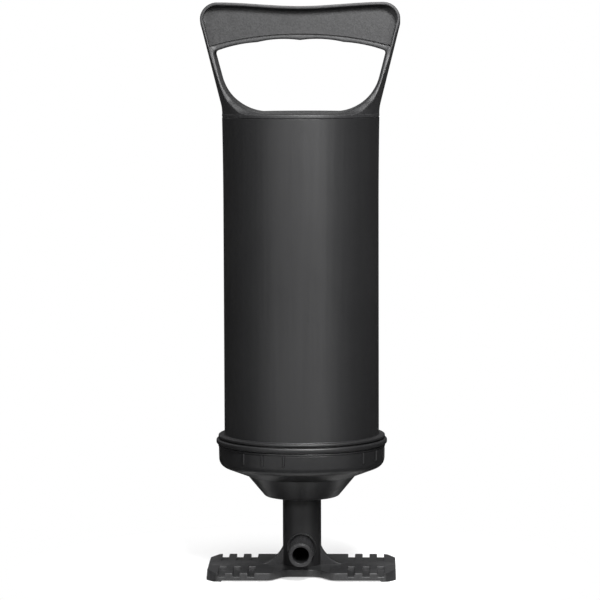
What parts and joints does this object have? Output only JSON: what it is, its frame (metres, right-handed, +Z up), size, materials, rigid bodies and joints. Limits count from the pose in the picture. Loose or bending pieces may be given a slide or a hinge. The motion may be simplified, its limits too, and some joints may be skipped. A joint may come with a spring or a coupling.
{
  "type": "double action hand pump",
  "caption": "Upright double action hand pump: a black barrel with a D-handle slides on a rod that stands on a foot plate with treads.",
  "frame": {"origin": "on the ground under the pump's axis, the bottom centre of its box", "axes": "+Z up along the pump's axis, -Y the way the outlet port points, X along the foot plate and the grip"},
  "size_m": [0.1282, 0.1108, 0.37],
  "materials": {
    "barrel_plastic": "moulded black polypropylene, satin",
    "handle_plastic": "moulded black polypropylene, satin, fine grain in the grip's recess",
    "cap_plastic": "moulded black polypropylene, satin",
    "foot_plastic": "moulded black polypropylene, fine grain",
    "rod_plastic": "extruded black polypropylene, satin",
    "inner_plastic": "moulded dark grey acetal",
    "seal_rubber": "black nitrile rubber",
    "valve_rubber": "soft dark grey silicone rubber",
    "screw_steel": "zinc-plated steel"
  },
  "bodies": {
    "foot": {"foot_plate": "foot_plastic", "base_manifold": "inner_plastic", "foot_screws": "screw_steel", "outlet_spigot": "foot_plastic", "intake_spigot": "foot_plastic", "rod_tube": "rod_plastic", "air_tube": "inner_plastic", "manifold_seal": "seal_rubber", "piston_seal": "seal_rubber", "piston_body": "inner_plastic", "piston_cover": "inner_plastic", "piston_screws": "screw_steel"},
    "piston_ring": {"piston_ring": "seal_rubber"},
    "barrel": {"barrel_tube": "barrel_plastic", "handle": "handle_plastic", "end_cap": "cap_plastic", "cap_gasket": "seal_rubber", "rod_bush": "inner_plastic", "rod_seal": "seal_rubber", "seal_retainer": "inner_plastic", "bottom_bumper": "seal_rubber", "top_bumper": "seal_rubber"},
    "intake_valve_upper": {"intake_valve_upper": "valve_rubber"},
    "intake_valve_lower": {"intake_valve_lower": "valve_rubber"},
    "delivery_valve_upper": {"delivery_valve_upper": "valve_rubber"},
    "delivery_valve_lower": {"delivery_valve_lower": "valve_rubber"}
  },
  "joints": [
    {"name": "barrel_swivel", "type": "hinge", "parent": "foot", "child": "piston_ring", "pos_m": [0, 0, 0.2779], "axis": [0, 0, 1], "continuous": true},
    {"name": "barrel_slide", "type": "slide", "parent": "piston_ring", "child": "barrel", "axis": [0, 0, 1], "range_m": [0, 0.1885]},
    {"name": "intake_valve_upper_lift", "type": "slide", "parent": "foot", "child": "intake_valve_upper", "axis": [0, 0, 1], "range_m": [0, 0.0015], "stiffness_N_per_m": 50, "springref_m": -0.001},
    {"name": "intake_valve_lower_lift", "type": "slide", "parent": "foot", "child": "intake_valve_lower", "axis": [0, 0, -1], "range_m": [0, 0.0015], "stiffness_N_per_m": 50, "springref_m": -0.001},
    {"name": "delivery_valve_upper_lift", "type": "slide", "parent": "foot", "child": "delivery_valve_upper", "axis": [0, 0, -1], "range_m": [0, 0.0015], "stiffness_N_per_m": 50, "springref_m": -0.001},
    {"name": "delivery_valve_lower_lift", "type": "slide", "parent": "foot", "child": "delivery_valve_lower", "axis": [0, 0, 1], "range_m": [0, 0.0015], "stiffness_N_per_m": 50, "springref_m": -0.001}
  ]
}
